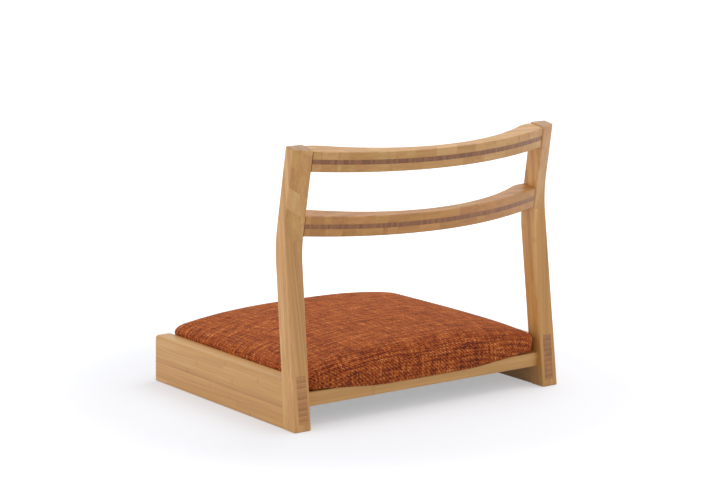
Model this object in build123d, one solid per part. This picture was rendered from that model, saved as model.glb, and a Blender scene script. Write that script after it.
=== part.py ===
from build123d import *
import os
from math import atan, cos, degrees, radians, sin, sqrt, tan

# A low floor chair: two long side boards stand on the floor, a bent post is tenoned to the rear
# end of each, two curved rails make the back, and a drop-in upholstered pad makes the seat.
# Millimetres. X runs from the sitter's right to the sitter's left, Y from the front to the
# rear, Z up from the floor. Until the last lines Y is 0 at the rear foot of the posts.

# Overall sizes
overall_width = 480.0        # over the side boards, at the floor
overall_height = 400.0       # floor to the top front edge of the posts
overall_depth = 378.0        # front end of a side board to the rear foot of its post

# Side boards
board_height = 71.0
board_thickness = 27.0
board_edge_round = 2.5
board_top_round = 5.0        # outer top edge

# Back posts: the leg leans forward from the floor to the bend, the upper part leans back
post_width = 28.0
leg_depth = 28.0
upper_depth = 31.0
leg_lean = 6.0               # degrees
upper_lean = 10.0            # degrees
bend_height = 247.0          # of the bend in the rear face
front_bend_radius = 180.0
toe_in = 1.0                 # degrees, each post and its board lean in towards the other side
post_edge_round = 2.5
post_end_round = 1.5
rear_bend_radius = 60.0

# Through tenon on the rear end of each side board, which climbs on its way through the leg
tenon_width = 15.5
tenon_inset = 1.2            # towards the inside, from the middle of the post
tenon_lower_shoulder = 3.0
tenon_upper_shoulder = 1.0
tenon_climb = 5.0            # more than square to the leg

# Curved back rails, each of three layers
rail_outer_layer = 11.5
rail_core_layer = 7.0
rail_spacing = 94.0          # from the top of one rail to the top of the next
rail_drop = 1.5              # top of the top rail below the top of the posts
rail_inset = 1.5             # rail ends inside the front and rear faces of the posts
rail_rise = 38.9             # of the rear arc, between the posts' inner faces
rail_end_flat = 16.0         # flat on the front face, at each end
rail_flat_ease = 60.0        # radius between the flat and the front arc
rail_middle_thickness = 15.0
rail_edge_round = 1.5

# Seat rails, middle batten and cleats, all of one height
seat_rail_height = 20.0
seat_rail_underside = 31.0
seat_rail_depth = 17.0
rear_rail_inset = 14.0       # rear face, forward of the rear foot of the posts
front_rail_inset = 14.0      # front face, behind the front end of the side boards
batten_depth = 40.0
cleat_width = 20.0

# Drop-in pad
pad_front_inset = 2.0        # behind the front end of the side boards
pad_rear_inset = 15.5        # forward of the rear foot of the posts
pad_side_clearance = 0.4     # to the posts
pad_corner_radius = 28.0
pad_height = 56.0            # at its middle
pad_side_fall = 20.0         # of the crown, from the middle to the sides
pad_end_fall = 8.5           # from the middle to the front and the rear
pad_edge_round = 22.0
cover_thickness = 1.5
cover_return = 26.0          # how far the cover is turned under the panel
panel_thickness = 9.0
foam_clearance = 0.3
underlining_thickness = 0.5
underlining_margin = 18.0

# Dowels
fit_clearance = 0.1
dowel_diameter = 6.0
dowel_length = 24.0
back_dowel_length = 34.0
back_dowel_pitch = 10.0
back_dowel_setback = 12.0    # of the pair's middle, behind the posts' front faces
seat_dowel_pitch = 10.0
batten_dowel_pitch = 20.0

# Screws and staples
screw_diameter = 4.0
screw_head_diameter = 8.0
screw_head_height = 2.5
cleat_screw_length = 34.0
cleat_screw_margin = 45.0    # from the ends of the cleats
cleat_screw_offset = 60.0    # from the middle batten
pad_screw_length = 27.0
pad_screw_margin = 22.0      # from the ends of the cleats
staple_inset = 12.0
staple_spacing = 46.0
staple_width = 10.0
staple_wire = 1.0
staple_leg = 6.0

# Worked out from the sizes above
half_width = overall_width / 2
rail_height = 2 * rail_outer_layer + rail_core_layer
seat_rail_top = seat_rail_underside + seat_rail_height
seat_rail_middle = seat_rail_underside + seat_rail_height / 2
pad_underside = seat_rail_top + underlining_thickness
pad_top = pad_underside + pad_height
reach = overall_width + overall_height + overall_depth

leg_sine = sin(radians(leg_lean))
leg_cosine = cos(radians(leg_lean))
upper_sine = sin(radians(upper_lean))
upper_cosine = cos(radians(upper_lean))

rear_bend_y = -bend_height * tan(radians(leg_lean))
upper_length = (overall_height - bend_height - upper_depth * upper_sine) / upper_cosine
post_top_y = rear_bend_y + upper_length * upper_sine - upper_depth * upper_cosine

# The back plane lies on the posts' upper front faces, with its origin at their top. In it X is
# across the chair, Y is towards the rear and Z is along the upper part of the post.
back_plane = Plane(
    origin=(0, post_top_y, overall_height),
    x_dir=(1, 0, 0),
    z_dir=(0, upper_sine, upper_cosine),
)

# The leg plane lies on the legs' front faces, with its origin at the floor. In it Y is towards
# the rear, square to the leg, and Z is along the leg.
leg_plane = Plane(
    origin=(0, -leg_depth / leg_cosine, 0),
    x_dir=(1, 0, 0),
    z_dir=(0, -leg_sine, leg_cosine),
)


def inner_face_x(height, thickness=post_width):
    """Distance from the middle of the chair to the inner face of a post or a side board."""
    return half_width - thickness - height * tan(radians(toe_in))


def arc_radius(half_span, rise):
    """Radius of an arc that rises over the middle of its span."""
    return (half_span**2 + rise**2) / (2 * rise)


# The rails' rear arc passes through the posts' inner rear arrises at their top. The front arc
# runs between the flats at the ends.
arc_half_span = inner_face_x(overall_height)
rear_arc_middle = upper_depth + rail_rise
rear_arc_radius = arc_radius(arc_half_span, rail_rise)
rear_arc_centre = rear_arc_middle - rear_arc_radius
front_arc_middle = rear_arc_middle - rail_inset - rail_middle_thickness
front_arc_radius = arc_radius(arc_half_span - rail_end_flat, front_arc_middle - rail_inset)


def block(x_range, y_range, z_range):
    """A square-cornered block between two values on each axis."""
    lengths = [end[1] - end[0] for end in (x_range, y_range, z_range)]
    low_corner = (x_range[0], y_range[0], z_range[0])
    return Pos(*low_corner) * Box(*lengths, align=(Align.MIN, Align.MIN, Align.MIN))


def mirrored(piece):
    """The same piece on the other side of the chair."""
    return piece.mirror(Plane.YZ)


def both_sides(pieces):
    """One group of the given solids and their mirror images."""
    return Compound(pieces + [mirrored(piece) for piece in pieces])


def rod(centre, diameter, length, direction=(1, 0, 0)):
    """A round rod, centred on a point."""
    return extrude(Plane(origin=centre, z_dir=direction) * Circle(diameter / 2), length / 2, both=True)


# ---------------------------------------------------------------------------- back posts


def post_side_outline():
    """The bent side shape of a post, its front bend eased to a long radius."""
    front_foot_y = -leg_depth / leg_cosine
    # The front bend is where the leg's front line meets the upper part's front line.
    rise = post_top_y - front_foot_y - overall_height * upper_sine / upper_cosine
    front_bend_z = -rise / (leg_sine / leg_cosine + upper_sine / upper_cosine)
    front_bend_y = front_foot_y - front_bend_z * leg_sine / leg_cosine
    top_rear = back_plane.from_local_coords((0, upper_depth, 0))
    corners = [
        (0, 0),
        (rear_bend_y, bend_height),
        (top_rear.Y, top_rear.Z),
        (post_top_y, overall_height),
        (front_bend_y, front_bend_z),
        (front_foot_y, 0),
    ]
    outline = make_face(Polyline(corners, close=True))
    front_bend = outline.vertices().sort_by(Axis.X)[0]
    return Plane.YZ * fillet(front_bend, front_bend_radius)


def side_slab(thickness):
    """The space between a left post's or board's inner and outer faces, leaning in at the top."""
    corners = [
        (inner_face_x(0, thickness), 0),
        (inner_face_x(0, 0), 0),
        (inner_face_x(overall_height, 0), overall_height),
        (inner_face_x(overall_height, thickness), overall_height),
    ]
    return extrude(Plane.XZ * make_face(Polyline(corners, close=True)), reach, both=True)


def between_sides(thickness):
    """The space between the inner faces of the two posts or boards."""
    low = inner_face_x(0, thickness)
    high = inner_face_x(overall_height, thickness)
    corners = [(-low, 0), (low, 0), (high, overall_height), (-high, overall_height)]
    return extrude(Plane.XZ * make_face(Polyline(corners, close=True)), reach, both=True)


def ahead_of_rail_arc():
    """Everything ahead of the cylinder on which the rails' rear faces lie."""
    disc = Pos(0, rear_arc_centre) * Circle(rear_arc_radius)
    return extrude(back_plane * disc, reach, both=True)


def ahead_of_leg_rear():
    """Everything ahead of the leg's rear face."""
    return leg_plane * block((-reach, reach), (-reach, leg_depth), (-reach, reach))


def sharp_left_post():
    """The post before its arrises are rounded: its upper rear face follows the rails' arc."""
    blank = extrude(post_side_outline(), overall_width) & side_slab(post_width)
    return (blank & ahead_of_rail_arc()) + (blank & ahead_of_leg_rear())


def tenon_block(clearance=0.0):
    """A side board's through tenon, flush with the leg's rear face."""
    low = tenon_lower_shoulder - clearance
    high = (board_height - tenon_upper_shoulder) / leg_cosine + clearance
    corners = [
        (-clearance, low),
        (leg_depth, low + tenon_climb),
        (leg_depth, high + tenon_climb),
        (-clearance, high),
    ]
    middle_x = inner_face_x(board_height / 2, post_width / 2) - tenon_inset
    side_plane = leg_plane * Plane(origin=(middle_x, 0, 0), x_dir=(0, 1, 0), z_dir=(1, 0, 0))
    side_face = side_plane * make_face(Polyline(corners, close=True))
    return extrude(side_face, tenon_width / 2 + clearance, both=True)


def rounded_left_post():
    """The post with its rear bend eased and its arrises rounded."""
    post = sharp_left_post()
    crosswise = post.edges().filter_by(lambda edge: abs(edge.tangent_at(0.5).Z) < 0.95)
    rear_bend = crosswise.filter_by(GeomType.ELLIPSE)
    post = fillet(rear_bend, rear_bend_radius)
    arrises = post.edges().filter_by(lambda edge: abs(edge.tangent_at(0.5).Z) > 0.95)
    post = fillet(arrises, post_edge_round)
    post = fillet(post.faces().sort_by(Axis.Z)[-1].edges(), post_end_round)
    return fillet(post.faces().sort_by(Axis.Z)[0].edges(), post_end_round)


def board_shoulder_corner():
    """The post's front arrises where the side board butts on it, which stay sharp."""
    strip_z = (board_edge_round, board_height - board_edge_round)
    strip = block((0, half_width), (0, 2 * post_edge_round), strip_z)
    return sharp_left_post() & leg_plane * strip


# ---------------------------------------------------------------------------- back rails


def rail_plan():
    """A back rail from above, run on into the posts: two arcs and a short flat at each end."""
    rear_disc = Pos(0, rear_arc_centre - rail_inset) * Circle(rear_arc_radius)
    front_disc = Pos(0, front_arc_middle - front_arc_radius) * Circle(front_arc_radius)
    blank = Rectangle(overall_width - post_width, rear_arc_middle, align=(Align.CENTER, Align.MIN))
    plan = (Pos(0, rail_inset) * blank & rear_disc) - front_disc
    on_front = plan.vertices().filter_by(lambda vertex: vertex.Y < rail_inset + fit_clearance)
    flat_ends = on_front.filter_by(lambda vertex: abs(vertex.X) < arc_half_span)
    return fillet(flat_ends, rail_flat_ease)


def rail_layer(depth, thickness, rounded_side=None):
    """One layer of a back rail, its upper face the given depth below the top of the posts."""
    layer = extrude(back_plane * Pos(0, 0, -depth - thickness) * rail_plan(), thickness)
    if rounded_side is not None:
        face = layer.faces().filter_by(back_plane).sort_by(Axis.Z)[rounded_side]
        long_edges = face.edges().filter_by(lambda edge: abs(edge.tangent_at(0.5).X) > 0.5)
        layer = fillet(long_edges, rail_edge_round)
    return layer & between_sides(post_width)


def rail_dowels(rail_depth, clearance=0.0):
    """Two dowels in each end of a back rail, within its core layer."""
    depth = rail_depth + rail_outer_layer + rail_core_layer / 2
    height = overall_height - depth * upper_cosine
    dowels = []
    for side in (-0.5, 0.5):
        setback = back_dowel_setback + side * back_dowel_pitch
        centre = back_plane.from_local_coords((inner_face_x(height), setback, -depth))
        dowels.append(rod(centre, dowel_diameter + 2 * clearance, back_dowel_length + 2 * clearance))
    return both_sides(dowels)


# ---------------------------------------------------------------------------- seat frame

board_inner_x = inner_face_x(seat_rail_middle, board_thickness)
cleat_inner_x = board_inner_x - cleat_width
front_rail_y = -overall_depth + front_rail_inset
cleat_front_y = front_rail_y + seat_rail_depth
cleat_rear_y = -leg_depth / leg_cosine - seat_rail_top * leg_sine / leg_cosine - fit_clearance
batten_y = (cleat_front_y + cleat_rear_y) / 2
seat_rail_z = (seat_rail_underside, seat_rail_top)


def left_side_board():
    """A side board with eased edges, cut to the leg's front face, and its tenon."""
    board = block((0, half_width), (-overall_depth, 0), (0, board_height)) & side_slab(board_thickness)
    long_edges = board.edges().filter_by(Axis.Y)
    top_outer_edge = long_edges.sort_by(lambda edge: edge.center().X + edge.center().Z)[-1]
    board = fillet(top_outer_edge, board_top_round)
    long_edges = board.edges().filter_by(Axis.Y)
    other_edges = long_edges.sort_by(lambda edge: edge.center().X + edge.center().Z)[:3]
    board = fillet(other_edges + board.faces().sort_by(Axis.Y)[0].edges(), board_edge_round)
    board -= leg_plane * block((-reach, reach), (0, reach), (-reach, reach))
    return board + tenon_block()


def seat_rail(rear_y, side_thickness):
    """A plain rail under the pad, across the chair between the posts or the boards."""
    blank = block((-half_width, half_width), (rear_y - seat_rail_depth, rear_y), seat_rail_z)
    return blank & between_sides(side_thickness)


def seat_rail_dowels(joint_x, middle_y, clearance=0.0):
    """Two dowels, one above the other, in each end of a seat rail."""
    dowels = []
    for side in (-0.5, 0.5):
        centre = (joint_x, middle_y, seat_rail_middle + side * seat_dowel_pitch)
        dowels.append(rod(centre, dowel_diameter + 2 * clearance, dowel_length + 2 * clearance))
    return both_sides(dowels)


def front_rail_dowels(clearance=0.0):
    """The front seat rail's dowels, which enter the side boards."""
    return seat_rail_dowels(board_inner_x, front_rail_y + seat_rail_depth / 2, clearance)


def rear_rail_dowels(clearance=0.0):
    """The rear seat rail's dowels, which pass through the posts' inner cheeks into the tenons."""
    middle_y = -rear_rail_inset - seat_rail_depth / 2
    return seat_rail_dowels(inner_face_x(seat_rail_middle), middle_y, clearance)


def batten_dowels(clearance=0.0):
    """Two dowels, side by side, in each end of the middle batten."""
    dowels = []
    for side in (-0.5, 0.5):
        centre = (cleat_inner_x, batten_y + side * batten_dowel_pitch, seat_rail_middle)
        dowels.append(rod(centre, dowel_diameter + 2 * clearance, dowel_length + 2 * clearance))
    return both_sides(dowels)


def screw(head, direction, length, clearance=0.0):
    """A countersunk screw, from the middle of the flat of its head."""
    seat = Plane(origin=head, z_dir=direction)
    shank_radius = screw_diameter / 2 + clearance
    shank = extrude(seat * Circle(shank_radius), length + clearance)
    bottom_align = (Align.CENTER, Align.CENTER, Align.MIN)
    head_radius = screw_head_diameter / 2 + clearance
    return shank + seat * Cone(head_radius, shank_radius, screw_head_height, align=bottom_align)


def cleat_screws(clearance=0.0):
    """Screws along X, through the cleats into the side boards."""
    places = [
        cleat_front_y + cleat_screw_margin,
        batten_y - cleat_screw_offset,
        batten_y + cleat_screw_offset,
        cleat_rear_y - cleat_screw_margin,
    ]
    heads = [(cleat_inner_x, y, seat_rail_middle) for y in places]
    return both_sides([screw(head, (1, 0, 0), cleat_screw_length, clearance) for head in heads])


def pad_screws(clearance=0.0):
    """Upright screws, through the cleats into the pad's panel."""
    places = (cleat_front_y + pad_screw_margin, cleat_rear_y - pad_screw_margin)
    heads = [(cleat_inner_x + cleat_width / 2, y, seat_rail_underside) for y in places]
    return both_sides([screw(head, (0, 0, 1), pad_screw_length, clearance) for head in heads])


# ---------------------------------------------------------------------------- drop-in pad

pad_half_width = inner_face_x(pad_top) - pad_side_clearance
pad_front_y = -overall_depth + pad_front_inset
pad_length = overall_depth - pad_front_inset - pad_rear_inset
pad_middle_y = pad_front_y + pad_length / 2
panel_underside = pad_underside + cover_thickness
side_crown_radius = arc_radius(pad_half_width, pad_side_fall)
end_crown_radius = arc_radius(pad_length / 2, pad_end_fall)


def pad_plan(inset):
    """The pad's outline from above, drawn in by an inset."""
    corner = max(pad_corner_radius - inset, cover_thickness)
    outline = RectangleRounded(2 * (pad_half_width - inset), pad_length - 2 * inset, corner)
    return Pos(0, pad_middle_y) * outline


def below_crown(inset):
    """Everything below the pad's crown: an arc across the chair, swung about a line below it."""
    radius = side_crown_radius - inset
    low_z = -radius + sqrt(radius**2 - half_width**2)
    arc = ThreePointArc((-half_width, low_z), (0, 0), (half_width, low_z))
    base = Polyline(arc @ 1, (half_width, -reach), (-half_width, -reach), arc @ 0)
    top = Plane(origin=(0, pad_middle_y, pad_top - inset), x_dir=(1, 0, 0), z_dir=(0, -1, 0))
    swing_line = Axis((0, pad_middle_y, pad_top - end_crown_radius), (1, 0, 0))
    half_swing = degrees(atan(pad_length / end_crown_radius))
    form = revolve(top * make_face([arc, base]), swing_line, 2 * half_swing)
    return form.rotate(swing_line, -half_swing)


def pad_form(inset, underside):
    """The crowned pad, drawn in all round and at the top by an inset."""
    form = extrude(Pos(0, 0, underside) * pad_plan(inset), pad_height) & below_crown(inset)
    top_face = form.faces().sort_by(Axis.Z)[-1]
    return fillet(top_face.edges(), pad_edge_round - inset)


def cover_staples(clearance=0.0):
    """Wire staples, let into the underside of the cover's return all round the pad."""
    side_x = pad_half_width - staple_inset
    end_y = pad_length / 2 - staple_inset
    long_run = 2 * (pad_half_width - pad_corner_radius)
    short_run = pad_length - 2 * pad_corner_radius
    staples = []
    for run, offset, turn in ((long_run, end_y, 0), (short_run, side_x, 90)):
        count = int(run / staple_spacing) + 1
        for number in range(count):
            along = (number - (count - 1) / 2) * staple_spacing
            for side in (-1, 1):
                staple = Rot(0, 0, turn) * Pos(along, side * offset, 0) * staple_shape(clearance)
                staples.append(Pos(0, pad_middle_y, pad_underside) * staple)
    return Compound(staples)


def staple_shape(clearance):
    """One staple, its crown along X and its legs upwards."""
    half = staple_width / 2 + clearance
    thick = staple_wire / 2 + clearance
    crown = block((-half, half), (-thick, thick), (0, staple_wire + clearance))
    legs = block((-half, half), (-thick, thick), (0, staple_wire + staple_leg + clearance))
    inner = staple_width / 2 - staple_wire - clearance
    return crown + (legs - block((-inner, inner), (-reach, reach), (0, reach)))


# ---------------------------------------------------------------------------- pieces

rail_depths = {"top": rail_drop, "lower": rail_drop + rail_spacing}

# Each piece is kept under its name.
pieces = {}

left_post = (rounded_left_post() + board_shoulder_corner()) - tenon_block(fit_clearance)
for depth in rail_depths.values():
    left_post -= rail_dowels(depth, fit_clearance)
pieces["left_back_post"] = left_post - rear_rail_dowels(fit_clearance)

left_board = left_side_board() - rear_rail_dowels(fit_clearance) - front_rail_dowels(fit_clearance)
pieces["left_side_board"] = left_board - cleat_screws(fit_clearance)

for name, depth in rail_depths.items():
    core_depth = depth + rail_outer_layer
    core = rail_layer(core_depth, rail_core_layer)
    pieces[name + "_rail_upper_layer"] = rail_layer(depth, rail_outer_layer, rounded_side=-1)
    pieces[name + "_rail_core"] = core - rail_dowels(depth, fit_clearance)
    lower_depth = core_depth + rail_core_layer
    pieces[name + "_rail_lower_layer"] = rail_layer(lower_depth, rail_outer_layer, rounded_side=0)
    pieces[name + "_rail_dowels"] = rail_dowels(depth)

rear_rail = seat_rail(-rear_rail_inset, post_width)
pieces["rear_seat_rail"] = rear_rail - rear_rail_dowels(fit_clearance)
front_rail = seat_rail(cleat_front_y, board_thickness)
pieces["front_seat_rail"] = front_rail - front_rail_dowels(fit_clearance)
pieces["rear_rail_dowels"] = rear_rail_dowels()
pieces["front_rail_dowels"] = front_rail_dowels()

batten_range = (batten_y - batten_depth / 2, batten_y + batten_depth / 2)
batten = block((-cleat_inner_x, cleat_inner_x), batten_range, seat_rail_z)
pieces["middle_seat_batten"] = batten - batten_dowels(fit_clearance)
pieces["batten_dowels"] = batten_dowels()

left_cleat = block((cleat_inner_x, half_width), (cleat_front_y, cleat_rear_y), seat_rail_z)
left_cleat = left_cleat & between_sides(board_thickness)
left_cleat = left_cleat - cleat_screws(fit_clearance) - pad_screws(fit_clearance)
pieces["left_seat_cleat"] = left_cleat - batten_dowels(fit_clearance)
pieces["cleat_screws"] = cleat_screws()
pieces["pad_screws"] = pad_screws()

filling = pad_form(cover_thickness, panel_underside)
panel_space = extrude(Pos(0, 0, panel_underside) * pad_plan(0), panel_thickness)
return_opening = extrude(Pos(0, 0, pad_underside) * pad_plan(cover_return), cover_thickness)
pad_holes = pad_screws(fit_clearance)
staple_holes = cover_staples(fit_clearance)
cover = pad_form(0, pad_underside) - filling - return_opening
pieces["seat_cover"] = cover - pad_holes - staple_holes
pieces["seat_panel"] = (filling & panel_space) - pad_holes - staple_holes
foam = pad_form(cover_thickness + foam_clearance, panel_underside) - panel_space
pieces["seat_foam"] = foam
underlining = extrude(Pos(0, 0, seat_rail_top) * pad_plan(underlining_margin), underlining_thickness)
pieces["seat_underlining"] = underlining
pieces["cover_staples"] = cover_staples()

for name in ("back_post", "side_board", "seat_cleat"):
    pieces["right_" + name] = mirrored(pieces["left_" + name])

# The origin is at the middle of the underside of the whole chair.
boxes = [piece.bounding_box() for piece in pieces.values()]
front_y = min(box.min.Y for box in boxes)
rear_y = max(box.max.Y for box in boxes)
to_origin = Pos(0, -(front_y + rear_y) / 2, 0)

os.makedirs("parts", exist_ok=True)
for name, piece in pieces.items():
    export_step(to_origin * piece, f"parts/{name}.step")
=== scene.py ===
import bmesh
import bpy
from math import cos, radians, sin, tanh
from mathutils import Euler, Matrix, Vector


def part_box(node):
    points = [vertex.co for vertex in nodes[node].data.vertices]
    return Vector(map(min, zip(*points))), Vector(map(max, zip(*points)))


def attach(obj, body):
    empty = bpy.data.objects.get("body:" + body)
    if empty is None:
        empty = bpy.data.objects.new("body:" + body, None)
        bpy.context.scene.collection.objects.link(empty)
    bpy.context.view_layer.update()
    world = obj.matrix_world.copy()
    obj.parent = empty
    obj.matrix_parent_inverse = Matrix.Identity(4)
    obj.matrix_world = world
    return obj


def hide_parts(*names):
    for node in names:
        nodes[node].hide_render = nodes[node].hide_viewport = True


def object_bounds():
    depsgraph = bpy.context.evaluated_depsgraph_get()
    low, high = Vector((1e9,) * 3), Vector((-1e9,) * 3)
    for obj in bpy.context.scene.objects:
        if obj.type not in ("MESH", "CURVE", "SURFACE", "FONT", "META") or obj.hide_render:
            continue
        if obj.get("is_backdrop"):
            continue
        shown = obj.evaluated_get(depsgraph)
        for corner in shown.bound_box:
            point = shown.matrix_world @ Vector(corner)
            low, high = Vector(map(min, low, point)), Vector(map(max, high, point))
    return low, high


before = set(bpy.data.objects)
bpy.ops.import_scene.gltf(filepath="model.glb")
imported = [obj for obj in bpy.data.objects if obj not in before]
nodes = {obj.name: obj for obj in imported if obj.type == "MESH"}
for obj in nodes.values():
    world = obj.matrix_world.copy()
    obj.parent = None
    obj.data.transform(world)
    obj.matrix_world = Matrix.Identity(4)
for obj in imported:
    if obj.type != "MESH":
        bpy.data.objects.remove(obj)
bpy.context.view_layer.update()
scene = bpy.context.scene
scene.view_settings.view_transform = "Standard"

# ---------------------------------------------------------------------------- camera
# A long lens, low behind the chair's left rear leg, as a furniture maker shows the joinery.

turned = 0.626          # radians, from straight ahead towards the sitter's right
tipped = 0.183          # radians, down
ahead = Vector((-sin(turned) * cos(tipped), -cos(turned) * cos(tipped), -sin(tipped)))
camera = bpy.data.objects.new("camera", bpy.data.cameras.new("camera"))
camera.data.lens = 114.0
camera.data.sensor_width = 36.0
camera.data.clip_start = 0.05
camera.data.clip_end = 60.0
camera.location = (1.9648, 2.7107, 0.8422)
camera.rotation_mode = "QUATERNION"
camera.rotation_quaternion = ahead.to_track_quat("-Z", "Y")
scene.collection.objects.link(camera)
scene.camera = camera

# ---------------------------------------------------------------------------- studio
# A white paper sweep that runs out of sight, one wide soft light overhead, a soft one on each
# side, and white walls all round that fill the shadows.


def node(tree, kind, inputs=None, **settings):
    """Adds a node, sets its settings, and links or sets its inputs."""
    made = tree.nodes.new(kind)
    for name, value in settings.items():
        setattr(made, name, value)
    for name, value in (inputs or {}).items():
        if isinstance(value, bpy.types.NodeSocket):
            tree.links.new(value, made.inputs[name])
        else:
            made.inputs[name].default_value = value
    return made


def maths(tree, operation, *values):
    """The result of one step of arithmetic."""
    return node(tree, "ShaderNodeMath", dict(enumerate(values)), operation=operation).outputs[0]


def mapped(tree, value, low, high, to_low=0.0, to_high=1.0, **settings):
    """A value taken from one range to another, and kept inside it."""
    ranges = {"From Min": low, "From Max": high, "To Min": to_low, "To Max": to_high}
    return node(tree, "ShaderNodeMapRange", {"Value": value, **ranges}, **settings).outputs[0]


def linear(hex_colour):
    """An sRGB hex colour as a linear one."""
    channels = [int(hex_colour[i:i + 2], 16) / 255 for i in (1, 3, 5)]
    return (*[c / 12.92 if c <= 0.04045 else ((c + 0.055) / 1.055) ** 2.4 for c in channels], 1.0)


def seen_by_eye(tree):
    """1 for rays from the camera, from a reflection or through glass, and 0 for light."""
    rays = node(tree, "ShaderNodeLightPath").outputs
    seen = maths(tree, "MAXIMUM", rays["Is Camera Ray"], rays["Is Glossy Ray"])
    return maths(tree, "MAXIMUM", seen, rays["Is Transmission Ray"])


def new_material(name):
    """A material and its node tree, with nothing in it."""
    material = bpy.data.materials.new(name)
    material.use_nodes = True
    material.node_tree.nodes.clear()
    return material, material.node_tree


white = (1, 1, 1, 1)
world = bpy.data.worlds.new("white_studio")
scene.world = world
world.use_nodes = True
tree = world.node_tree
tree.nodes.clear()
seen = seen_by_eye(tree)
fill_light = node(tree, "ShaderNodeBackground", {"Color": linear("#F6F8FF"), "Strength": 0.78})
white_air = node(tree, "ShaderNodeBackground", {"Color": white, "Strength": 1.0})
air = node(tree, "ShaderNodeMixShader", {0: seen, 1: fill_light.outputs[0], 2: white_air.outputs[0]})
node(tree, "ShaderNodeOutputWorld", {"Surface": air.outputs[0]})

reach = 14              # metres to each side, well out of sight
corners = [(-reach, -reach, 0), (reach, -reach, 0), (reach, reach, 0), (-reach, reach, 0)]
sweep = bpy.data.meshes.new("studio_floor")
sweep.from_pydata(corners, [], [(0, 1, 2, 3)])
studio_floor = bpy.data.objects.new("studio_floor", sweep)
scene.collection.objects.link(studio_floor)
# The paper glows to the camera and in reflections, little near the chair, where it keeps the
# shadow, and up to white further out. The weak glow near the chair also paints a broad grey
# shade on the paper all round it.
white_paper, tree = new_material("matt_white_paper")
place = node(tree, "ShaderNodeTexCoord").outputs["Object"]
distance = node(tree, "ShaderNodeVectorMath", {0: place}, operation="LENGTH").outputs["Value"]
# Painted shade: the glow fades towards the chair, so the paper greys all round it.
amount = mapped(tree, distance, 0.36, 0.80, 0.39, 0.78, interpolation_type="SMOOTHSTEP")
strength = maths(tree, "MULTIPLY", seen_by_eye(tree), amount)
paper = node(tree, "ShaderNodeBsdfDiffuse", {"Color": linear("#C9C9CA")})
glow = node(tree, "ShaderNodeEmission", {"Color": white, "Strength": strength})
lit_paper = node(tree, "ShaderNodeAddShader", {0: paper.outputs[0], 1: glow.outputs[0]})
node(tree, "ShaderNodeOutputMaterial", {"Surface": lit_paper.outputs[0]})
sweep.materials.append(white_paper)
studio_floor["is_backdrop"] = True

aim = Vector((0, 0, 0.15))
for name, place, size, power in (
    ("overhead", (-1.3, 0.0, 2.15), 2.3, 21.5),
    ("left", (2.7, -0.4, 0.42), 0.8, 15.5),
    ("right", (-1.3, 2.6, 1.3), 1.6, 8.5),
):
    lamp = bpy.data.lights.new(name, "AREA")
    lamp.shape = "DISK"
    lamp.size = size
    lamp.energy = power
    lamp_object = bpy.data.objects.new(name, lamp)
    lamp_object.location = place
    lamp_object.rotation_mode = "QUATERNION"
    lamp_object.rotation_quaternion = (aim - Vector(place)).to_track_quat("-Z", "Y")
    scene.collection.objects.link(lamp_object)

# ---------------------------------------------------------------------------- side boards
# Two boards on edge, the full length of the chair, planed from laminated moso bamboo: split
# strips glued one above the other. At the rear each ends in a tenon that goes right through the
# back post, so the strips' cut ends show there as brown bands.


def vector_maths(tree, operation, *values):
    """The result of one step of arithmetic on vectors."""
    return node(tree, "ShaderNodeVectorMath", dict(enumerate(values)), operation=operation).outputs[0]


def ramp(tree, amount, *stops):
    """A colour that changes with the amount, through stops of a position and a hex colour."""
    made = node(tree, "ShaderNodeValToRGB", {"Fac": amount})
    elements = made.color_ramp.elements
    for element, (position, colour) in zip(elements, (stops[0], stops[-1])):
        element.position = position
        element.color = linear(colour)
    for position, colour in stops[1:-1]:
        elements.new(position).color = linear(colour)
    return made.outputs[0]


def mixed_colour(tree, amount, first, second, **settings):
    """The first colour with an amount of the second."""
    inputs = {"Fac": amount, "Color1": first, "Color2": second}
    return node(tree, "ShaderNodeMixRGB", inputs, **settings).outputs[0]


def bump(tree, height, strength, depth):
    """Normals tilted by a height, as deep as it is given in metres."""
    inputs = {"Height": height, "Strength": strength, "Distance": depth}
    return node(tree, "ShaderNodeBump", inputs).outputs[0]


def end_in_shader(tree, inputs):
    """Ends a material in one shader."""
    shader = node(tree, "ShaderNodeBsdfPrincipled", inputs)
    node(tree, "ShaderNodeOutputMaterial", {"Surface": shader.outputs[0]})


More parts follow.
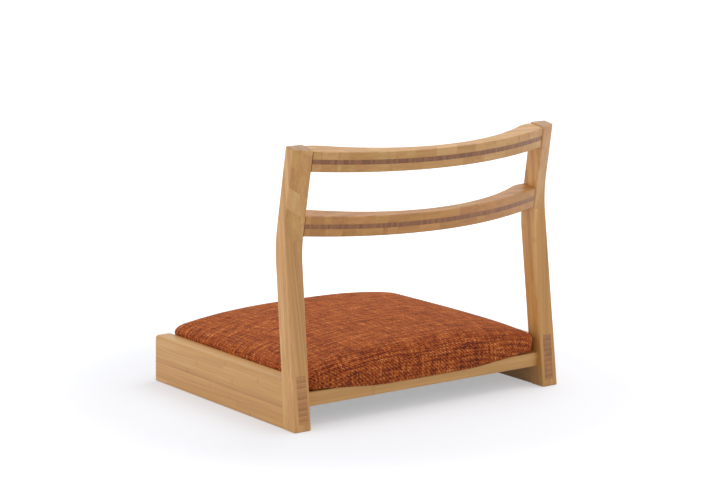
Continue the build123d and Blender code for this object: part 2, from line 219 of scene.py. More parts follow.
def laminated_bamboo(
    name, turn, strip, shift, tones, end_tones, strip_contrast=0.45, fibre_contrast=1.0,
):
    """Bamboo under satin lacquer. Its strips run along the turned X, each long, deep and high."""
    material, tree = new_material(name)
    place = node(tree, "ShaderNodeTexCoord").outputs["Object"]
    inputs = {"Vector": place, "Rotation": turn, "Location": shift}
    own = node(tree, "ShaderNodeMapping", inputs).outputs[0]

    # Each strip has its own tone. Strips in a row are butted, with the joints out of step.
    in_strips = vector_maths(tree, "MULTIPLY", own, [1 / size for size in strip])
    course = vector_maths(tree, "FLOOR", vector_maths(tree, "MULTIPLY", in_strips, (0, 1, 1)))
    course_noise = node(tree, "ShaderNodeTexWhiteNoise", {"Vector": course}).outputs["Value"]
    stagger = node(tree, "ShaderNodeCombineXYZ", {"X": course_noise}).outputs[0]
    number = vector_maths(tree, "FLOOR", vector_maths(tree, "ADD", in_strips, stagger))
    strip_noise = node(tree, "ShaderNodeTexWhiteNoise", {"Vector": number}).outputs
    strip_tone = strip_noise["Value"]
    strip_hue = node(tree, "ShaderNodeSeparateColor", {0: strip_noise["Color"]}).outputs["Green"]

    # Fibres run the length of a strip: soft streaks 6 mm wide and fine ones of 1 mm.
    no_two_alike = vector_maths(tree, "MULTIPLY", number, (3.7, 1.9, 5.3))
    moved = vector_maths(tree, "ADD", own, no_two_alike)
    streaks = []
    for per_metre_along, per_metre_across, detail in ((2.6, 170.0, 3.0), (11.0, 900.0, 2.0)):
        stretch = (per_metre_along, per_metre_across, per_metre_across)
        drawn_out = vector_maths(tree, "MULTIPLY", moved, stretch)
        streaks.append(node(
            tree, "ShaderNodeTexNoise",
            {"Vector": drawn_out, "Scale": 1.0, "Detail": detail, "Roughness": 0.6},
        ).outputs[0])
    broad, fine = streaks

    broad_share = 0.9 * fibre_contrast
    fine_share = 0.6 * fibre_contrast
    middle_tone = (strip_contrast + 1.5 * fibre_contrast) / 2
    tone = maths(tree, "MULTIPLY", strip_tone, strip_contrast)
    tone = maths(tree, "MULTIPLY_ADD", broad, broad_share, tone)
    tone = maths(tree, "MULTIPLY_ADD", fine, fine_share, tone)
    tone = maths(tree, "ADD", tone, 0.5 - middle_tone)
    plain = ramp(tree, tone, (0.0, tones[0]), (0.5, tones[1]), (1.0, tones[2]))

    # Some strips are a little greener, some a little redder.
    hue = ramp(tree, strip_hue, (0.0, "#B8975A"), (1.0, "#CC9468"))
    tinted = mixed_colour(tree, 0.22, plain, hue)

    # Every 27 cm or so a strip has its node, a thin dark ridge planed flat.
    lengthwise = node(tree, "ShaderNodeSeparateXYZ", {0: own}).outputs["X"]
    along_cane = maths(tree, "MULTIPLY_ADD", lengthwise, 1 / 0.27, strip_tone)
    wavy = maths(tree, "MULTIPLY_ADD", fine, 0.02, along_cane)
    from_node = maths(tree, "PINGPONG", wavy, 1.0)
    node_mark = mapped(tree, from_node, 0.016, 0.002, to_high=0.16)
    marked = mixed_colour(tree, node_mark, tinted, linear("#7C5226"))

    # The cut ends are browner: bundles of fibres as specks 1 mm apart, packed closer towards
    # the strip's rind side, which makes it darker there.
    specks = node(tree, "ShaderNodeTexVoronoi", {"Vector": own, "Scale": 800.0}).outputs["Distance"]
    layer = node(tree, "ShaderNodeSeparateXYZ", {0: in_strips}).outputs["Z"]
    from_rind = maths(tree, "FRACT", layer)
    end_tone = maths(tree, "MULTIPLY_ADD", from_rind, 0.5, 0.05)
    end_tone = maths(tree, "MULTIPLY_ADD", specks, 0.4, end_tone)
    end_tone = maths(tree, "MULTIPLY_ADD", strip_tone, 0.4, end_tone)
    end = ramp(tree, end_tone, (0.15, end_tones[0]), (1.0, end_tones[1]))
    facing = node(tree, "ShaderNodeNewGeometry").outputs["Normal"]
    own_facing = node(tree, "ShaderNodeMapping", {"Vector": facing, "Rotation": turn}).outputs[0]
    endwise = node(tree, "ShaderNodeSeparateXYZ", {0: own_facing}).outputs["X"]
    is_end = mapped(tree, maths(tree, "ABSOLUTE", endwise), 0.6, 0.85)
    colour = mixed_colour(tree, is_end, marked, end)

    relief = bump(tree, fine, 0.08, 0.0003)
    end_in_shader(tree, {"Base Color": colour, "Normal": relief, "Roughness": 0.4, "IOR": 1.5})
    return material


def finish_node(name, material):
    """Gives a carried-over piece its finish."""
    nodes[name].data.materials.clear()
    nodes[name].data.materials.append(material)


bamboo_tones = ("#A16C2F", "#C9934F", "#E0B374")
uncut = 2.0             # metres: longer than any piece, so that a strip runs right through
along_y = (0, 0, radians(90))
# Painted shade: the right board's cut ends get darker tones than the left's, for the shade that falls
# on the right tenon.
for side, end_tones in (("left", ("#8F5A32", "#C88E53")), ("right", ("#7F4E2B", "#AF7843"))):
    board_bamboo = laminated_bamboo(
        side + "_board_bamboo", along_y, (uncut, 0.031, 0.0078), (0.4, 0.004, 0.0012), bamboo_tones,
        end_tones, strip_contrast=0.16, fibre_contrast=1.3,
    )
    finish_node(side + "_side_board", board_bamboo)

# ---------------------------------------------------------------------------- back posts
# Bent posts, sawn from a thick laminated blank. The straight strips follow the leg, 3 degrees
# off, so that they run out in long lens shapes at the bend and on the hollowed upper face.

leg_lean = 6
run_out = 3
for side, slope, roll, tones in (
    ("left", 90 - run_out, 15, ("#A87233", "#D29C58", "#E7BC80")),
    ("right", 90 + run_out, -15, ("#A46C2D", "#CC914A", "#E2AF6B")),
):
    along_leg = Euler((radians(-leg_lean), radians(slope), 0)).to_matrix()
    turn = (Matrix.Rotation(radians(roll), 3, "X") @ along_leg).to_euler()
    post_bamboo = laminated_bamboo(
        side + "_post_bamboo", turn, (uncut, 0.0076, 0.013), (0.6, 0.009, 0.003), tones,
        ("#93683F", "#B98D5F"), strip_contrast=0.45,
    )
    finish_node(side + "_back_post", post_bamboo)

# ---------------------------------------------------------------------------- back rails
# Two rails sawn to a curve from a three-layer blank: pale bamboo with its short strips along the
# rail above and below, and between them a thin dark layer with its strips across, whose cut
# ends show as a brown line. The lower rail's tones are darker: painted shade, where the top
# rail keeps the light from above off it.

lean_back = (radians(10), 0, 0)
rail_strip = (0.036, 0.0075, 0.0185)
rail_end_tones = ("#8E5C38", "#BA8657")
rail_bamboo = laminated_bamboo(
    "back_rail_bamboo", lean_back, rail_strip, (0.2, 0.0023, 0.0042), bamboo_tones,
    rail_end_tones, strip_contrast=0.38,
)
core_bamboo = laminated_bamboo(
    "back_rail_core_bamboo", along_y, (uncut, 0.0032, 0.05), (0, 0, 0),
    ("#7F5B41", "#936B4E", "#A67D5E"), ("#542E17", "#A16A41"),
)
# Painted shade: darker tones for the lower rail, which the top rail shades from above.
lower_rail_shaded_bamboo = laminated_bamboo(
    "lower_rail_shaded_bamboo", lean_back, rail_strip, (0.31, 0.0047, 0.0102),
    ("#965C25", "#BF813B", "#D8A15A"), rail_end_tones, strip_contrast=0.38,
)
for rail, outer_bamboo in (("top_rail", rail_bamboo), ("lower_rail", lower_rail_shaded_bamboo)):
    finish_node(rail + "_upper_layer", outer_bamboo)
    finish_node(rail + "_lower_layer", outer_bamboo)
    finish_node(rail + "_core", core_bamboo)

# ---------------------------------------------------------------------------- seat frame
# Slim rails, a middle batten and two cleats of the same bamboo hold the pad between the
# boards. Short beech dowels, hidden in the joints, tie everything together.

crosswise = (0, 0, 0)
seat_rail_bamboo = laminated_bamboo(
    "seat_rail_bamboo", crosswise, (uncut, 0.0085, 0.0205), (0.3, 0.002, -0.031), bamboo_tones,
    rail_end_tones,
)
cleat_bamboo = laminated_bamboo(
    "cleat_bamboo", along_y, (uncut, 0.0105, 0.0205), (0.7, 0.002, -0.031), bamboo_tones,
    rail_end_tones,
)
for name in ("rear_seat_rail", "front_seat_rail", "middle_seat_batten"):
    finish_node(name, seat_rail_bamboo)
for name in ("left_seat_cleat", "right_seat_cleat"):
    finish_node(name, cleat_bamboo)

# Turned beech is pale and even, with short fine flecks.
dowel_beech = laminated_bamboo(
    "turned_beech", crosswise, (uncut, 0.05, 0.05), (0, 0, 0), ("#B98F63", "#CDA777", "#DDBC90"),
    ("#A88058", "#C79F72"), fibre_contrast=0.7,
)
for joint in ("top_rail", "lower_rail", "rear_rail", "front_rail", "batten"):
    finish_node(joint + "_dowels", dowel_beech)

# ---------------------------------------------------------------------------- screws
# Zinc-plated countersunk wood screws, eight through the cleats into the boards and four up
# through the cleats into the pad's panel: a flat head with a cross recess and a rolled thread.


def clouded_metal(name, cloud_scale, colours, dullness):
    """Bare or plated metal whose tone and polish vary a little from place to place."""
    material, tree = new_material(name)
    place = node(tree, "ShaderNodeTexCoord").outputs["Object"]
    inputs = {"Vector": place, "Scale": cloud_scale, "Detail": 2.0}
    clouding = node(tree, "ShaderNodeTexNoise", inputs).outputs[0]
    colour = ramp(tree, clouding, (0.0, colours[0]), (1.0, colours[1]))
    roughness = mapped(tree, clouding, 0.0, 1.0, *dullness)
    end_in_shader(tree, {"Base Color": colour, "Metallic": 1.0, "Roughness": roughness})
    return material


def new_pattern(name, sizes):
    """A Geometry Nodes tree with these sizes as inputs, and what its input node gives."""
    tree = bpy.data.node_groups.new(name, "GeometryNodeTree")
    tree.interface.new_socket("Geometry", in_out="INPUT", socket_type="NodeSocketGeometry")
    for size, value in sizes.items():
        socket = tree.interface.new_socket(size, in_out="INPUT", socket_type="NodeSocketFloat")
        socket.default_value = value
    tree.interface.new_socket("Geometry", in_out="OUTPUT", socket_type="NodeSocketGeometry")
    return tree, node(tree, "NodeGroupInput").outputs


def read_turn(tree):
    """Each point's own turn."""
    inputs = {"Name": "turn"}
    read = node(tree, "GeometryNodeInputNamedAttribute", inputs, data_type="FLOAT_VECTOR")
    return read.outputs["Attribute"]


def lay_out(tree, points, pattern, turn, material):
    """Ends a tree with a copy of the pattern on every point, turned, in its material."""
    rotation = node(tree, "FunctionNodeEulerToRotation", {0: turn}).outputs[0]
    inputs = {"Points": points, "Instance": pattern, "Rotation": rotation}
    placed = node(tree, "GeometryNodeInstanceOnPoints", inputs).outputs[0]
    real = node(tree, "GeometryNodeRealizeInstances", {0: placed}).outputs[0]
    finished = node(tree, "GeometryNodeSetMaterial", {"Geometry": real, "Material": material})
    node(tree, "NodeGroupOutput", {0: finished.outputs[0]})


def cut_away(tree, mesh, *tools):
    """What is left of a mesh when the tools, joined into one, are cut from it."""
    joined = node(tree, "GeometryNodeMeshBoolean", {"Mesh 2": tools[0]}, operation="UNION")
    for tool in tools[1:]:
        tree.links.new(tool, joined.inputs["Mesh 2"])
    inputs = {"Mesh 1": mesh, "Mesh 2": joined.outputs["Mesh"]}
    return node(tree, "GeometryNodeMeshBoolean", inputs, operation="DIFFERENCE").outputs["Mesh"]


def keep_plain(piece):
    """The piece's mesh with its modifiers applied."""
    evaluated = piece.evaluated_get(bpy.context.evaluated_depsgraph_get())
    mesh = bpy.data.meshes.new_from_object(evaluated)
    piece.modifiers.clear()
    piece.data = mesh
    return mesh


def from_points(name, tree, points, turns, sizes):
    """Runs a tree on loose points, each with its turn, and keeps the plain mesh."""
    mesh = bpy.data.meshes.new(name)
    mesh.from_pydata(points, [], [])
    attribute = mesh.attributes.new("turn", "FLOAT_VECTOR", "POINT")
    attribute.data.foreach_set("vector", [value for turn in turns for value in turn])
    piece = bpy.data.objects.new(name, mesh)
    scene.collection.objects.link(piece)
    modifier = piece.modifiers.new("pattern", "NODES")
    modifier.node_group = tree
    for item in tree.interface.items_tree:
        if item.in_out == "INPUT" and item.name in sizes:
            modifier[item.identifier] = sizes[item.name]
    keep_plain(piece).validate()    # the ends of a thread leave doubled edges
    return piece


zinc = clouded_metal("zinc_plated_steel", 600.0, ("#A9A8A2", "#D6D5CE"), (0.26, 0.44))
screw_sizes = {
    "Length": 0.034, "Shank Radius": 0.002, "Head Radius": 0.004, "Head Height": 0.0025,
    "Pitch": 0.0018,
}
screw_tree, given = new_pattern("countersunk_screws", screw_sizes)
head = node(
    screw_tree, "GeometryNodeMeshCone",
    {"Vertices": 24, "Radius Top": given["Shank Radius"], "Radius Bottom": given["Head Radius"],
     "Depth": given["Head Height"]},
).outputs["Mesh"]
slot_long = maths(screw_tree, "MULTIPLY", given["Head Radius"], 1.1)
slot_wide = maths(screw_tree, "MULTIPLY", given["Head Radius"], 0.2)
slot_deep = maths(screw_tree, "MULTIPLY", given["Head Height"], 1.2)
slots = []
for x, y in ((slot_long, slot_wide), (slot_wide, slot_long)):
    slot_size = node(screw_tree, "ShaderNodeCombineXYZ", {"X": x, "Y": y, "Z": slot_deep}).outputs[0]
    slots.append(node(screw_tree, "GeometryNodeMeshCube", {"Size": slot_size}).outputs["Mesh"])
cut_head = cut_away(screw_tree, head, *slots)
shank_length = maths(screw_tree, "SUBTRACT", given["Length"], given["Head Height"])
core_radius = maths(screw_tree, "MULTIPLY", given["Shank Radius"], 0.7)
shank = node(
    screw_tree, "GeometryNodeMeshCone",
    {"Vertices": 16, "Radius Top": 0.0004, "Radius Bottom": core_radius, "Depth": shank_length},
).outputs["Mesh"]
helix = node(
    screw_tree, "GeometryNodeCurveSpiral",
    {"Resolution": 12, "Rotations": maths(screw_tree, "DIVIDE", shank_length, given["Pitch"]),
     "Start Radius": core_radius, "End Radius": 0.0006, "Height": shank_length},
).outputs["Curve"]
thread_size = maths(screw_tree, "MULTIPLY", given["Shank Radius"], 0.3)
ridge = node(
    screw_tree, "GeometryNodeCurvePrimitiveCircle", {"Resolution": 3, "Radius": thread_size},
).outputs["Curve"]
thread = node(
    screw_tree, "GeometryNodeCurveToMesh",
    {"Curve": helix, "Profile Curve": ridge, "Fill Caps": True},
).outputs["Mesh"]
below_head = node(screw_tree, "ShaderNodeCombineXYZ", {"Z": given["Head Height"]}).outputs[0]
whole = node(screw_tree, "GeometryNodeJoinGeometry", {0: cut_head})
for below in (shank, thread):
    placed = node(screw_tree, "GeometryNodeTransform", {"Geometry": below, "Translation": below_head})
    screw_tree.links.new(placed.outputs[0], whole.inputs[0])
lay_out(screw_tree, given["Geometry"], whole.outputs[0], read_turn(screw_tree), zinc)

# The screws sit where the cleats' holes are: head first, then which way each one points.
cleat_low, cleat_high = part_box("left_seat_cleat")
cleat_middle_y = (cleat_low.y + cleat_high.y) / 2
board_screw_z = 0.041
from_cleat_end = 0.045
from_cleat_middle = 0.060
screw_points = []
screw_turns = []
for side in (1, -1):
    for y in (
        cleat_low.y + from_cleat_end, cleat_middle_y - from_cleat_middle,
        cleat_middle_y + from_cleat_middle, cleat_high.y - from_cleat_end,
    ):
        screw_points.append((side * cleat_low.x, y, board_screw_z))
        screw_turns.append((radians(90), 30 * y, side * radians(90)))   # the recesses at random
cleat_screws = from_points(
    "cleat_screws_zinc", screw_tree, screw_points, screw_turns, {"Length": 0.034},
)
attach(cleat_screws, "root")
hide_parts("cleat_screws")

from_cleat_end = 0.022
from_cleat_side = 0.010
screw_points = []
for side in (1, -1):
    for y in (cleat_low.y + from_cleat_end, cleat_high.y - from_cleat_end):
        screw_points.append((side * (cleat_low.x + from_cleat_side), y, cleat_low.z))
screw_turns = [(0, 0, turn) for turn in (0.3, 1.2, 0.8, 0.1)]
pad_screws = from_points("pad_screws_zinc", screw_tree, screw_points, screw_turns, {"Length": 0.027})
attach(pad_screws, "root")
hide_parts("pad_screws")

# ---------------------------------------------------------------------------- seat panel
# Birch plywood under the foam: pale rotary-cut faces with a flowing grain, and edges of thin
# light and dark veneers.

birch_ply, tree = new_material("birch_plywood")
place = node(tree, "ShaderNodeTexCoord").outputs["Object"]
drawn_out = vector_maths(tree, "MULTIPLY", place, (6.0, 55.0, 55.0))    # streaks 18 mm wide
grain = node(
    tree, "ShaderNodeTexNoise", {"Vector": drawn_out, "Scale": 1.0, "Detail": 5.0, "Distortion": 0.6},
).outputs[0]
face = ramp(tree, grain, (0.3, "#C9A36F"), (0.7, "#E3C796"))
veneer_thickness = 0.0014
height = node(tree, "ShaderNodeSeparateXYZ", {0: place}).outputs["Z"]
veneer = maths(tree, "PINGPONG", height, veneer_thickness)
veneer = maths(tree, "GREATER_THAN", veneer, veneer_thickness / 2)
edge = mixed_colour(tree, veneer, linear("#B98D57"), linear("#DDBF8D"))
facing = node(tree, "ShaderNodeNewGeometry").outputs["Normal"]
upright = node(tree, "ShaderNodeSeparateXYZ", {0: facing}).outputs["Z"]
colour = mixed_colour(tree, maths(tree, "ABSOLUTE", upright), edge, face)
relief = bump(tree, grain, 0.2, 0.0003)
end_in_shader(tree, {"Base Color": colour, "Roughness": 0.6, "Normal": relief})
finish_node("seat_panel", birch_ply)

# ---------------------------------------------------------------------------- seat foam
# A slab of pale yellow polyurethane foam, cut to a crown. Its open cells, 1 to 2 mm across,
# make it look sandy.

foam, tree = new_material("polyurethane_foam")
place = node(tree, "ShaderNodeTexCoord").outputs["Object"]
cells = node(tree, "ShaderNodeTexVoronoi", {"Vector": place, "Scale": 700.0}).outputs["Distance"]
body = ramp(tree, cells, (0.0, "#CDBB84"), (1.0, "#EFE3B8"))
relief = bump(tree, cells, 0.6, 0.001)
end_in_shader(tree, {"Base Color": body, "Roughness": 0.95, "Normal": relief})
finish_node("seat_foam", foam)

# ---------------------------------------------------------------------------- underlining
# A dust cloth of black spunbonded polypropylene, pulled flat under the panel and the cover's
# turned-in edge. Its bonded dots, 2 mm apart, give a faint pin pattern.

lining_low, lining_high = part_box("seat_underlining")
lining_width = lining_high.x - lining_low.x
lining_length = lining_high.y - lining_low.y
lining_level = (lining_low.z + lining_high.z) / 2
lining_mesh = bpy.data.meshes.new("dust_cloth")
shape = bmesh.new()
across_count, along_count = 48, 40
grid = []
for row in range(along_count + 1):
    y = lining_low.y + lining_length * row / along_count
    grid.append([
        shape.verts.new((lining_low.x + lining_width * column / across_count, y, lining_level))
        for column in range(across_count + 1)
    ])
for low, high in zip(grid, grid[1:]):
    for column in range(across_count):
        shape.faces.new((low[column], high[column], high[column + 1], low[column + 1]))
shape.to_mesh(lining_mesh)
shape.free()
dust_cloth = bpy.data.objects.new("dust_cloth", lining_mesh)
scene.collection.objects.link(dust_cloth)
spunbond, tree = new_material("black_spunbond")
place = node(tree, "ShaderNodeTexCoord").outputs["Object"]
dots = node(
    tree, "ShaderNodeTexVoronoi", {"Vector": place, "Scale": 500.0, "Randomness": 0.0},
).outputs["Distance"]
fibres = node(tree, "ShaderNodeTexNoise", {"Vector": place, "Scale": 900.0, "Detail": 4.0}).outputs[0]
web = maths(tree, "MULTIPLY_ADD", dots, 0.5, fibres)
black = ramp(tree, web, (0.0, "#1B1A1A"), (1.0, "#3A3837"))
relief = bump(tree, web, 0.4, 0.0003)
end_in_shader(tree, {"Base Color": black, "Roughness": 0.85, "Normal": relief})
lining_mesh.materials.append(spunbond)
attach(dust_cloth, "root")
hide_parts("seat_underlining")

# ---------------------------------------------------------------------------- seat pad
# A drop-in pad: foam on plywood under a rust tweed cover, drawn tight over the edges and stapled
# underneath. The foam is crowned, its sides swell a little over the boards' edges, and the
# corners stay soft.

pad_low, pad_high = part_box("seat_cover")
pad_middle_y = (pad_low.y + pad_high.y) / 2
pad_bottom = pad_low.z
half_wide = pad_high.x + 0.0045
half_long = (pad_high.y - pad_low.y) / 2 + 0.001
edge_width = 0.028      # over which the top turns down, all round
corner_bend = 0.018     # radius of the outline's corners
corner_steps, straight_steps = 8, 48
edge_steps, top_steps = 14, 29
top_middle = 0.006      # half the length of the last ring, which one face closes
shoulder_z = 0.072      # where the side turns over to the top
edge_crown_z = 0.0835   # of the crown's own surface, along all four edges
crown_rise = 0.0235
fall_to_ends = 0.33     # of the rise
corner_fall = 0.007     # of the crown's two rear corners
tuck = 0.0055           # how far the sides draw in below, between the boards
edge_fullness = 2.4     # of the turned edges, where 2 would be a plain arc


def crown_z(x, y):
    """Height of the crown, before its edges turn down."""
    across_part = 1 - min(abs(x) / half_wide, 1) ** 2.8
    along = (y - pad_middle_y) / half_long
    rise = crown_rise * across_part * (1 - fall_to_ends * along**2)
    return edge_crown_z + rise - corner_fall * (1 - across_part) * max(along, 0)**4


def pad_ring(side_inset, end_inset):
    """The pad's rounded outline, drawn in at the sides and at the front and rear."""
    reach_x = half_wide - side_inset
    reach_y = half_long - end_inset
    bend = max(corner_bend - (side_inset + end_inset) / 2, 0.0)
    arcs = []
    for turn, (side_x, side_y) in enumerate(((1, 1), (-1, 1), (-1, -1), (1, -1))):
        arcs.append([])
        for step in range(corner_steps + 1):
            angle = radians(90) * (turn + step / corner_steps)
            x = side_x * (reach_x - bend) + bend * cos(angle)
            y = side_y * (reach_y - bend) + bend * sin(angle)
            arcs[-1].append(Vector((x, y)))
    points = []
    for arc, following in zip(arcs, arcs[1:] + arcs[:1]):
        steps = [step / straight_steps for step in range(1, straight_steps)]
        points += arc + [arc[-1].lerp(following[0], step) for step in steps]
    return points


# From the bottom up: the underside's rounded edge, the tucked-in side, the turned edge, the top.
lower_edge = (
    (0.0, 0.0050 + tuck, 0.0050),
    (0.0010, 0.0022 + tuck, 0.0022),
    (0.0030, 0.0006 + tuck, 0.0006),
    (0.0060, tuck, 0.0),
    (0.0150, tuck, 0.0),
    (0.0178, 0.6 * tuck, 0.0),
    (0.0200, 0.2 * tuck, 0.0),
)
rings = []
for height, side_inset, end_inset in lower_edge:
    rings.append([(*point, pad_bottom + height) for point in pad_ring(side_inset, end_inset)])
for step in range(edge_steps + 1):
    slant = radians(90) * step / edge_steps
    inset = edge_width * (1 - cos(slant))
    turned_over = (1 - cos(slant) ** edge_fullness) ** (1 / edge_fullness)
    ring = []
    for x, y in pad_ring(inset, inset):
        ring.append((x, y, shoulder_z + (crown_z(x, y + pad_middle_y) - shoulder_z) * turned_over))
    rings.append(ring)
for step in range(1, top_steps + 1):
    inset = edge_width + (half_long - top_middle - edge_width) * step / top_steps
    rings.append([(x, y, crown_z(x, y + pad_middle_y)) for x, y in pad_ring(inset, inset)])

pad_mesh = bpy.data.meshes.new("seat_pad")
shape = bmesh.new()
made_rings = [[shape.verts.new((x, y + pad_middle_y, z)) for x, y, z in ring] for ring in rings]
for lower, upper in zip(made_rings, made_rings[1:]):
    for i in range(len(lower)):
        j = (i + 1) % len(lower)
        shape.faces.new((lower[i], lower[j], upper[j], upper[i]))
shape.faces.new(made_rings[-1])
shape.faces.new(list(reversed(made_rings[0])))
bmesh.ops.remove_doubles(shape, verts=shape.verts, dist=0.00005)
bmesh.ops.recalc_face_normals(shape, faces=shape.faces)
shape.to_mesh(pad_mesh)
shape.free()
pad = bpy.data.objects.new("seat_pad", pad_mesh)
scene.collection.objects.link(pad)
even_out = pad.modifiers.new("even", "REMESH")
even_out.mode = "VOXEL"
even_out.voxel_size = 0.0045
pad_mesh = keep_plain(pad)

# Air pressure swells the cover over the foam. The panel and the staples hold its lower edge,
# the foam keeps it from sinking in anywhere, and no point rises further than the cap.
cap = 0.0015
held_height = 0.012     # and let go over as much again
last_frame = 20
start = [(vertex.co.copy(), vertex.normal.copy()) for vertex in pad_mesh.vertices]
held = pad.vertex_groups.new(name="held")
for vertex in pad_mesh.vertices:
    height = vertex.co.z - pad_bottom
    hold = 1.0 if height < held_height else max(0.0, 1 - (height - held_height) / held_height)
    held.add([vertex.index], hold, "REPLACE")
cloth = pad.modifiers.new("swell", "CLOTH")
cloth.settings.quality = 5
cloth.settings.mass = 0.3
cloth.settings.tension_stiffness = 12.0
cloth.settings.compression_stiffness = 6.0
cloth.settings.bending_stiffness = 0.4
cloth.settings.use_pressure = True
cloth.settings.uniform_pressure_force = 4.0
cloth.settings.vertex_group_mass = "held"
cloth.settings.effector_weights.gravity = 0.0
cloth.collision_settings.use_collision = False
cloth.point_cache.frame_start = 1
cloth.point_cache.frame_end = last_frame
for frame_number in range(1, last_frame + 1):
    scene.frame_set(frame_number)
pad_mesh = keep_plain(pad)
scene.frame_set(1)
pad.vertex_groups.clear()
for vertex, (before, outwards) in zip(pad_mesh.vertices, start):
    swell = max((vertex.co - before).dot(outwards), 0.0)
    vertex.co = before + outwards * cap * tanh(swell / (4 * cap))


def eased(value):
    """Rises smoothly from 0 to 1."""
    value = max(0.0, min(1.0, value))
    return value * value * (3 - 2 * value)


# The rear edge is slack: it swells out over the rear rail and hangs down its rear face, most
# in the middle. Two cuts just behind the rail give the hanging part an edge of its own.
rail_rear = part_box("rear_seat_rail")[1].y
slack_swell = 0.0048    # none of it 30 mm in from the rear, 208 mm from the middle, 94 mm up
slack_drop = 0.0084     # none of it 190 mm from the middle, 68 mm up
for vertex in pad_mesh.vertices:
    x, y, z = vertex.co
    rearmost = eased((y - pad_middle_y - half_long + 0.030) / 0.026)
    amount = eased((0.208 - abs(x)) / 0.060) * rearmost * eased((0.094 - z) / 0.034)
    vertex.co.y += slack_swell * amount
shape = bmesh.new()
shape.from_mesh(pad_mesh)
for clear in (0.0004, 0.0010):
    everything = shape.verts[:] + shape.edges[:] + shape.faces[:]
    cut_place = (0, rail_rear + clear, 0)
    bmesh.ops.bisect_plane(shape, geom=everything, plane_co=cut_place, plane_no=(0, 1, 0))
for vertex in shape.verts:
    x, y, z = vertex.co
    if y > rail_rear + 0.0009:
        vertex.co.z -= slack_drop * eased((0.190 - abs(x)) / 0.125) * eased((0.068 - z) / 0.014)
shape.to_mesh(pad_mesh)
shape.free()

# The weave's own coordinates, in metres: the top as it lies, and the sides folded out around it.
cover_uv = pad_mesh.uv_layers.new(name="weave")
weave_place = []
for vertex in pad_mesh.vertices:
    x, y, z = vertex.co.x, vertex.co.y - pad_middle_y, vertex.co.z
    inner = Vector((
        max(-half_wide + edge_width, min(half_wide - edge_width, x)),
        max(-half_long + edge_width, min(half_long - edge_width, y)),
    ))
    outwards = Vector((x, y)) - inner
    drop = max(crown_z(x, vertex.co.y) - z, 0.0)
    if outwards.length > 1e-6:
        inner += outwards * (1 + drop / outwards.length)
    weave_place.append(inner)
for polygon in pad_mesh.polygons:
    polygon.use_smooth = True
    for loop in polygon.loop_indices:
        cover_uv.data[loop].uv = weave_place[pad_mesh.loops[loop].vertex_index]

finer = pad.modifiers.new("finer", "SUBSURF")
finer.levels = 1
finer.render_levels = 1

# A chunky wool and polyester tweed: slub yarns spun from rust, orange, plum and pale pink
# wool, woven two over and two under. The real yarns are about 1 mm thick, and are drawn at
# 1.5 mm, so that the render can show them.


def either(tree, choice, when_0, when_1):
    """One of two values."""
    inputs = {"Factor": choice, 2: when_0, 3: when_1}
    return node(tree, "ShaderNodeMix", inputs, data_type="FLOAT").outputs[0]


tweed, tree = new_material("slub_tweed")
yarn = 0.0015
weave = node(tree, "ShaderNodeUVMap", uv_map="weave").outputs[0]
in_yarns = vector_maths(tree, "MULTIPLY", weave, (1 / yarn, 1 / yarn, 0))
counted = node(tree, "ShaderNodeSeparateXYZ", {0: vector_maths(tree, "FLOOR", in_yarns)}).outputs
part = node(tree, "ShaderNodeSeparateXYZ", {0: vector_maths(tree, "FRACTION", in_yarns)}).outputs
twill = maths(tree, "ADD", counted["X"], counted["Y"])
twill = maths(tree, "FRACT", maths(tree, "MULTIPLY_ADD", twill, 0.25, 0.1))
warp_on_top = maths(tree, "GREATER_THAN", twill, 0.5)

# Each yarn changes its tone every 9 mm or so, and the warp is the darker of the two.
yarn_tones = []
for across, along, offset in (("X", "Y", 0.0), ("Y", "X", 41.0)):
    run = node(tree, "ShaderNodeSeparateXYZ", {0: in_yarns}).outputs[along]
    run = maths(tree, "MULTIPLY", run, 0.16)
    row = maths(tree, "MULTIPLY_ADD", counted[across], 7.31, offset)
    spot = node(tree, "ShaderNodeCombineXYZ", {"X": run, "Y": row, "Z": offset}).outputs[0]
    yarn_tones.append(node(
        tree, "ShaderNodeTexNoise", {"Vector": spot, "Scale": 1.0, "Detail": 2.0, "Roughness": 0.7},
    ).outputs[0])
yarn_tone = either(tree, warp_on_top, yarn_tones[1], yarn_tones[0])
yarn_tone = maths(tree, "MULTIPLY_ADD", warp_on_top, -0.18, yarn_tone)

# Neps: wool flecks 2 mm across. Slubs: soft stretches 50 mm long and 5 mm wide, both ways.
place = node(tree, "ShaderNodeTexCoord").outputs["Object"]
neps = node(
    tree, "ShaderNodeTexNoise", {"Vector": place, "Scale": 520.0, "Detail": 2.0, "Roughness": 0.6},
).outputs[0]
mixed = maths(tree, "MULTIPLY_ADD", neps, 0.8, yarn_tone)
for stretch, offset, amount in (((18.0, 200.0, 0), 3.0, 1.25), ((230.0, 20.0, 0), 17.0, 0.9)):
    drawn_out = vector_maths(tree, "MULTIPLY_ADD", weave, stretch, (offset, offset, 0))
    slubs = node(
        tree, "ShaderNodeTexNoise",
        {"Vector": drawn_out, "Scale": 1.0, "Detail": 3.0, "Roughness": 0.68},
    ).outputs[0]
    mixed = maths(tree, "MULTIPLY_ADD", slubs, amount, mixed)
yarns = ramp(
    tree, mapped(tree, mixed, 1.515, 2.375),
    (0.0, "#431A18"), (0.28, "#7C2F1A"), (0.48, "#AC5023"), (0.66, "#C7692B"), (0.83, "#DC8A48"),
    (1.0, "#E5A675"),
)
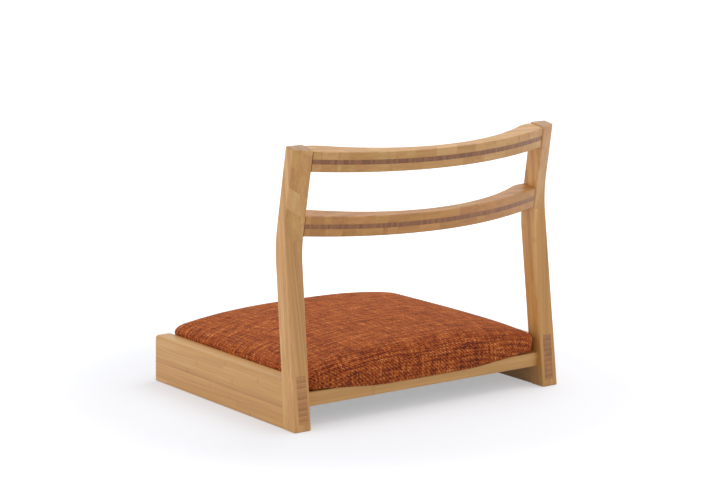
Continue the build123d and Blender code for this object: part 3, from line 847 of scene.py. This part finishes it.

# Each yarn is rounded, and painted shade darkens the hollows between two.
rounds = []
for side in ("X", "Y"):
    away = maths(tree, "SUBTRACT", part[side], 0.5)
    rounds.append(maths(tree, "MULTIPLY_ADD", maths(tree, "MULTIPLY", away, away), -4.0, 1.0))
yarn_round = either(tree, warp_on_top, rounds[1], rounds[0])
painted_hollow_shade = mapped(tree, yarn_round, 0.0, 1.0, to_low=0.72)
shade = node(tree, "ShaderNodeCombineColor", {"Red": painted_hollow_shade, "Green": painted_hollow_shade, "Blue": painted_hollow_shade})
colour = mixed_colour(tree, 1.0, yarns, shade.outputs[0], blend_type="MULTIPLY")
relief = bump(tree, maths(tree, "MULTIPLY_ADD", neps, 0.8, yarn_round), 0.5, 0.0006)
end_in_shader(tree, {
    "Base Color": colour, "Normal": relief, "Roughness": 0.95, "Specular IOR Level": 0.2,
    "Sheen Weight": 0.3, "Sheen Roughness": 0.5, "Sheen Tint": linear("#F59A50"),
})
pad_mesh.materials.clear()
pad_mesh.materials.append(tweed)
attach(pad, "root")
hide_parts("seat_cover")

# ---------------------------------------------------------------------------- staples
# Bright steel wire staples, let into the cover's turned-in edge under the panel. Driven by
# hand, none of them is quite straight.

staple_steel = clouded_metal("bright_steel_wire", 1500.0, ("#9B9A97", "#C9C8C5"), (0.22, 0.4))
staple_sizes = {"Width": 0.010, "Leg": 0.006, "Wire": 0.001, "Slant": 0.06}
staple_tree, given = new_pattern("wire_staples", staple_sizes)
# Four points: a leg's tip, the bar's two ends, and the other leg's tip.
index = node(staple_tree, "GeometryNodeInputIndex").outputs[0]
on_right = maths(staple_tree, "GREATER_THAN", index, 1.5)
inner_width = maths(staple_tree, "SUBTRACT", given["Width"], given["Wire"])
bar_x = maths(staple_tree, "MULTIPLY", maths(staple_tree, "SUBTRACT", on_right, 0.5), inner_width)
from_middle = maths(staple_tree, "ABSOLUTE", maths(staple_tree, "SUBTRACT", index, 1.5))
at_tip = maths(staple_tree, "GREATER_THAN", from_middle, 1.0)
half_wire = maths(staple_tree, "MULTIPLY", given["Wire"], 0.5)
bar_z = maths(staple_tree, "MULTIPLY_ADD", at_tip, given["Leg"], half_wire)
bar_point = node(staple_tree, "ShaderNodeCombineXYZ", {"X": bar_x, "Z": bar_z}).outputs[0]
bar = node(staple_tree, "GeometryNodeMeshLine", {"Count": 4}).outputs[0]
bar = node(staple_tree, "GeometryNodeSetPosition", {"Geometry": bar, "Position": bar_point}).outputs[0]
bar = node(staple_tree, "GeometryNodeMeshToCurve", {0: bar}).outputs[0]
bar = node(
    staple_tree, "GeometryNodeFilletCurve", {"Curve": bar, "Radius": given["Wire"], "Count": 3},
    mode="POLY",
).outputs[0]
section = node(
    staple_tree, "GeometryNodeCurvePrimitiveCircle", {"Resolution": 8, "Radius": half_wire},
).outputs["Curve"]
staple = node(
    staple_tree, "GeometryNodeCurveToMesh",
    {"Curve": bar, "Profile Curve": section, "Fill Caps": True},
).outputs[0]
skew = node(
    staple_tree, "FunctionNodeRandomValue", {"Min": (0, 0, -1.0), "Max": (0, 0, 1.0), "Seed": 7},
    data_type="FLOAT_VECTOR",
).outputs[0]
skew = node(
    staple_tree, "ShaderNodeVectorMath", {0: skew, "Scale": given["Slant"]}, operation="SCALE",
).outputs[0]
turn = vector_maths(staple_tree, "ADD", read_turn(staple_tree), skew)
lay_out(staple_tree, given["Geometry"], staple, turn, staple_steel)

cover_half_wide = pad_high.x
cover_half_long = (pad_high.y - pad_low.y) / 2
spacing = 0.046
from_corner = 0.026
from_edge = 0.012
staple_points = []
staple_turns = []
for run, offset, turn in (
    (2 * (cover_half_wide - from_corner), cover_half_long - from_edge, 0),
    (2 * (cover_half_long - from_corner), cover_half_wide - from_edge, radians(90)),
):
    count = int(run / spacing) + 1
    for number in range(count):
        along = (number - (count - 1) / 2) * spacing
        for side in (-1, 1):
            x, y = (along, side * offset) if turn == 0 else (side * offset, along)
            staple_points.append((x, y + pad_middle_y, pad_bottom))
            staple_turns.append((0, 0, turn))
cover_staples = from_points(
    "cover_staples_wire", staple_tree, staple_points, staple_turns, {"Width": 0.010, "Leg": 0.0055},
)
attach(cover_staples, "root")
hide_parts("cover_staples")

low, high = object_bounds()
